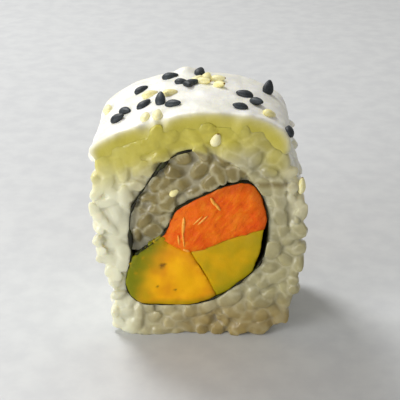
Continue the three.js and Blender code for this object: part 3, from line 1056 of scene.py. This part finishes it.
# Seeds on the front: x and z in millimetres, turn about the roll's axis and tip. On the right: y, z, turn
# and tip.
WHITE_IN_FRONT = [(3.4, 42.9, 82, 0)]
SMALL_IN_FRONT = [(-4.6, 31.9, 35, 0)]
WHITE_ON_RIGHT = [(-10.4, 33.4, 80, 0)]
SEED_HALF_SIZE = (1.68 * MM, 1.18 * MM, 0.84 * MM)


def seed_shape():
    """One plump teardrop seed, lying along X with its point towards +X."""
    quarter = (0, math.pi / 2, 0)
    bpy.ops.mesh.primitive_uv_sphere_add(segments=14, ring_count=9, radius=1, rotation=quarter)
    seed = bpy.context.object
    bpy.ops.object.transform_apply(location=True, rotation=True, scale=True)
    bpy.ops.object.mode_set(mode="EDIT")
    bpy.ops.transform.resize(value=SEED_HALF_SIZE)
    bpy.ops.object.mode_set(mode="OBJECT")
    points = points_of(seed)
    along = points[:, 0] / SEED_HALF_SIZE[0]
    points[:, 1:] *= (1 - 0.34 * smooth_step(-0.5, 1, along))[:, None]
    place_points(seed, points)
    return seed


def seed_place(tree, start, heading, along, tip, size, tone, sunk):
    """A seed dropped on a surface along a heading, its point tipped up, pressed in as deep as `sunk`."""
    spot, normal, _, _ = tree.ray_cast(Vector(start), Vector(heading))
    side = normal.cross(Vector(along)).normalized()
    flat = side.cross(normal)
    tilt = math.radians(tip)
    axis = flat * math.cos(tilt) + normal * math.sin(tilt)
    up = axis.cross(side)
    turn = np.array(Matrix((axis, side, up)).transposed())
    lift = (0.16 + 0.9 * abs(math.sin(tilt))) * MM - sunk
    return np.array(spot + normal * lift), turn, np.full(3, size), tone


def seeds_dropped(seeds, tree, side, random, share=1.0, sunk=0.0):
    """Seeds dropped on a side of the roll: its two axes, the third axis, where to start and which way."""
    first, second, third, start, way = side
    places = []
    for along_first, along_second, turn, tip in seeds:
        angle = math.radians(turn)
        along = np.zeros(3)
        along[[first, second]] = math.cos(angle), math.sin(angle)
        origin = np.zeros(3)
        origin[[first, second, third]] = along_first * MM, along_second * MM, start
        heading = np.zeros(3)
        heading[third] = way
        size = random.uniform(0.9, 1.06) * share
        places.append(seed_place(tree, origin, heading, along, tip, size, random.uniform(-1, 1), sunk))
    return places


def seed_finish(name, dark, light, tip, gloss):
    finish = Finish(name)
    fine = finish.noise(0.3, detail=4)
    tone = finish.attribute("tone")
    base = finish.mix((finish.mask(fine, 0.3, 0.75) + tone * 0.25).clamped(), dark, light)
    tipped = finish.mix(finish.mask(finish.attribute("along"), 0.88, 0.97), base, tip)
    return finish.surface(
        Base_Color=tipped,
        Roughness=finish.mask(fine, 0.3, 0.7) * 0.2 + gloss,
        Normal=finish.bump(fine, 0.4, 0.06 * MM),
    )


def make_seeds():
    random = np.random.default_rng(5)
    cream = tree_of(bpy.data.objects["cream"].data)
    rice = tree_of(bpy.data.objects["rice_mass"].data)
    seed = seed_shape()
    on_top = (0, 1, 2, 0.1, -1)
    in_front = (0, 2, 1, -0.05, 1)
    on_right = (1, 2, 0, 0.05, -1)
    black_places = seeds_dropped(BLACK_ON_TOP, cream, on_top, random)
    white_places = seeds_dropped(WHITE_ON_TOP, cream, on_top, random)
    white_places += seeds_dropped(WHITE_IN_FRONT, rice, in_front, random, sunk=0.3 * MM)
    white_places += seeds_dropped(SMALL_IN_FRONT, rice, in_front, random, share=0.62)
    white_places += seeds_dropped(WHITE_ON_RIGHT, rice, on_right, random)
    black = joined_copies("black_sesame", seed, black_places, long_axis=0)
    white = joined_copies("white_sesame", seed, white_places, long_axis=0)
    black_hull = (colour(26, 32, 38), colour(54, 64, 70), colour(20, 22, 24))
    white_hull = (colour(250, 238, 158), colour(255, 250, 208), colour(150, 104, 40))
    finishes = (
        (black, seed_finish("black_hull", *black_hull, 0.45)),
        (white, seed_finish("white_hull", *white_hull, 0.4)),
    )
    for piece, material in finishes:
        shade_smooth(piece)
        finish_piece(piece, "cream", material)
    bpy.data.objects.remove(seed)


# ---- Studio ----

CAMERA_TARGET = Vector((-0.13, 0, 24.83)) * MM
CAMERA_DISTANCE = 195 * MM
CAMERA_HEIGHT_ANGLE = math.radians(26)
CAMERA_SIDE_ANGLE = math.radians(2.5)
CAMERA_LENS = 85.6
FLOOR_DROP = 0.02 * MM


def aim(thing, spot, target):
    thing.location = spot
    thing.rotation_euler = (Vector(target) - Vector(spot)).to_track_quat("-Z", "Y").to_euler()


def make_camera():
    lens = bpy.data.cameras.new("camera")
    lens.lens = CAMERA_LENS
    lens.sensor_width = 36
    lens.clip_start = 0.01
    camera = bpy.data.objects.new("camera", lens)
    bpy.context.collection.objects.link(camera)
    level = math.cos(CAMERA_HEIGHT_ANGLE)
    back = Vector((
        math.sin(CAMERA_SIDE_ANGLE) * level,
        -math.cos(CAMERA_SIDE_ANGLE) * level,
        math.sin(CAMERA_HEIGHT_ANGLE),
    ))
    aim(camera, CAMERA_TARGET + back * CAMERA_DISTANCE, CAMERA_TARGET)
    bpy.context.scene.camera = camera


def make_light(name, spot, size, power, tint=(1, 1, 1)):
    lamp = bpy.data.lights.new(name, "AREA")
    lamp.shape = "DISK"
    lamp.size = size
    lamp.energy = power
    lamp.color = tint
    light = bpy.data.objects.new(name, lamp)
    bpy.context.collection.objects.link(light)
    aim(light, Vector(spot), (0, 0, 0.025))


def make_studio():
    make_light("window", (-0.22, 0.26, 0.42), 0.2, 1.75)
    make_light("front_fill", (-0.17, -0.16, 0.09), 0.14, 0.33)
    world = bpy.data.worlds.new("studio")
    world.use_nodes = True
    backdrop = world.node_tree.nodes["Background"]
    backdrop.inputs["Color"].default_value = (1.0, 0.97, 0.92, 1)
    backdrop.inputs["Strength"].default_value = 0.38
    bpy.context.scene.world = world
    bpy.context.scene.view_settings.view_transform = "Standard"
    bpy.ops.mesh.primitive_plane_add(size=2, location=(0, 0, -FLOOR_DROP))
    floor = bpy.context.object
    floor.name = "floor"
    finish = Finish("pale_floor")
    grain = finish.noise(6, detail=4)
    base = finish.mix(finish.mask(grain, 0.3, 0.7), colour(206, 208, 210), colour(214, 216, 217))
    floor.data.materials.append(finish.surface(Base_Color=base, Roughness=0.75))


# ---- The roll ----

make_camera()
make_rice()
make_cream()
make_nori()
make_salmon()
make_avocado(
    "avocado_left", "avocado_ripe",
    colour(252, 186, 0), colour(232, 154, 0), colour(128, 130, 0), 1.4 * MM,
)
make_avocado(
    "avocado_right", "avocado_green",
    colour(222, 172, 0), colour(192, 160, 0), colour(140, 142, 0), 3.0 * MM,
)
make_seeds()
make_studio()
